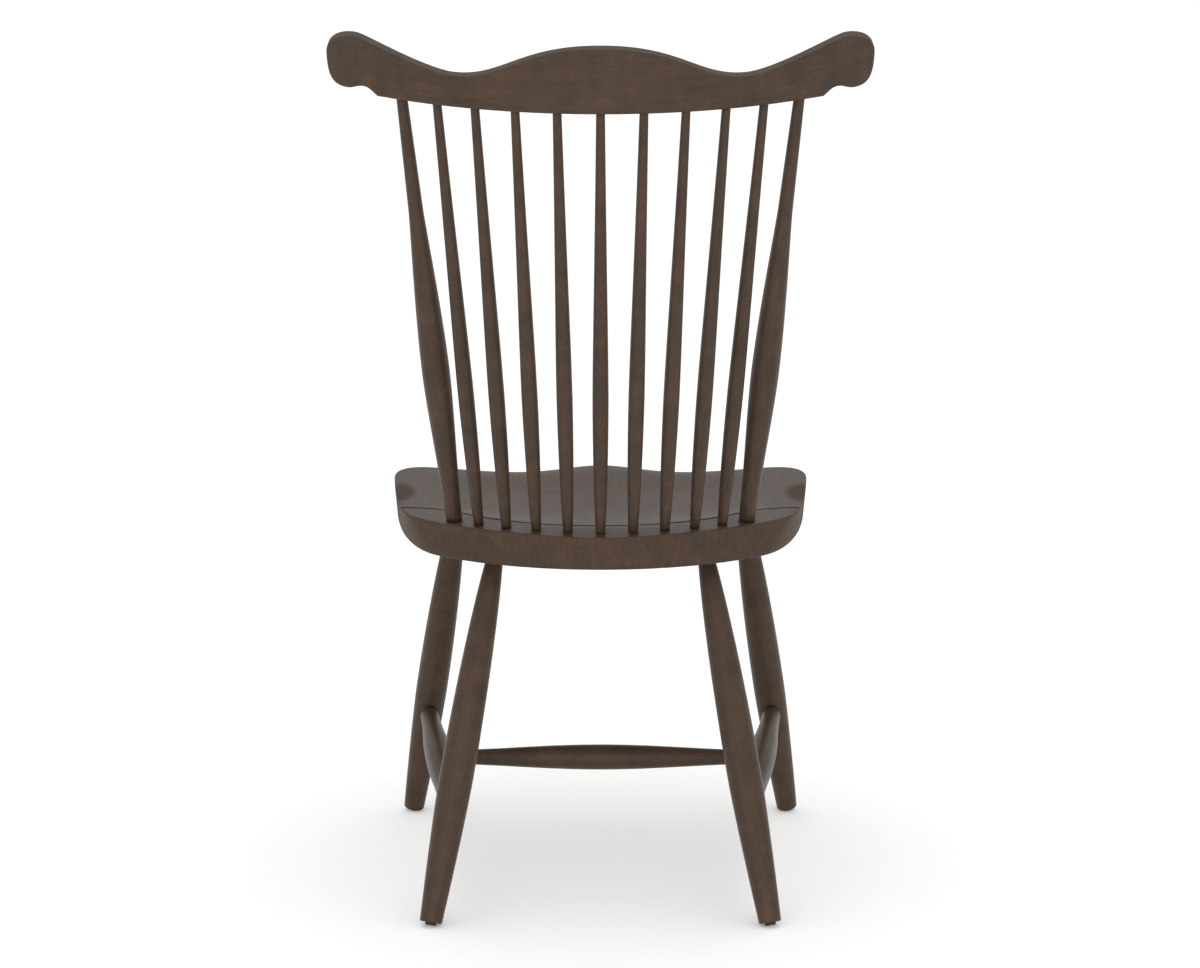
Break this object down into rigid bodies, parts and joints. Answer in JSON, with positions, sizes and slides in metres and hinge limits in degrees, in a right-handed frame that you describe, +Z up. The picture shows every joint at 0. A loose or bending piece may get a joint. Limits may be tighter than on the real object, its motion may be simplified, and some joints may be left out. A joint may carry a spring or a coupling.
{
  "type": "comb-back side chair",
  "caption": "Wooden side chair with a carved saddle seat, a fan of turned spindles under a serpentine crest rail, and splayed turned legs joined by stretchers.",
  "frame": {"origin": "on the floor, under the middle of the whole chair's box", "axes": "+Z up, +Y to the rear of the chair, +X to the left hand of a sitter"},
  "size_m": [0.6104, 0.596, 1.0334],
  "materials": {
    "seat_wood": "dark walnut-brown stain under a worn satin lacquer, grain from front to back",
    "crest_wood": "dark walnut-brown stain under satin lacquer, grain along the rail",
    "turned_wood": "dark walnut-brown stain under satin lacquer, grain along each turning",
    "glide_plastic": "dark brown moulded plastic, slightly scuffed",
    "nail_steel": "plain steel nail"
  },
  "bodies": {
    "root": {"seat": "seat_wood", "crest_rail": "crest_wood", "centre_stretcher": "turned_wood", "spindle_1": "turned_wood", "spindle_2": "turned_wood", "spindle_3": "turned_wood", "spindle_4": "turned_wood", "spindle_5": "turned_wood", "spindle_6": "turned_wood", "spindle_7": "turned_wood", "spindle_8": "turned_wood", "spindle_9": "turned_wood", "back_post_left": "turned_wood", "side_stretcher_left": "turned_wood", "leg_front_left": "turned_wood", "glide_front_left": "glide_plastic", "glide_nail_front_left": "nail_steel", "leg_rear_left": "turned_wood", "glide_rear_left": "glide_plastic", "glide_nail_rear_left": "nail_steel", "back_post_right": "turned_wood", "side_stretcher_right": "turned_wood", "leg_front_right": "turned_wood", "glide_front_right": "glide_plastic", "glide_nail_front_right": "nail_steel", "leg_rear_right": "turned_wood", "glide_rear_right": "glide_plastic", "glide_nail_rear_right": "nail_steel"}
  },
  "joints": []
}
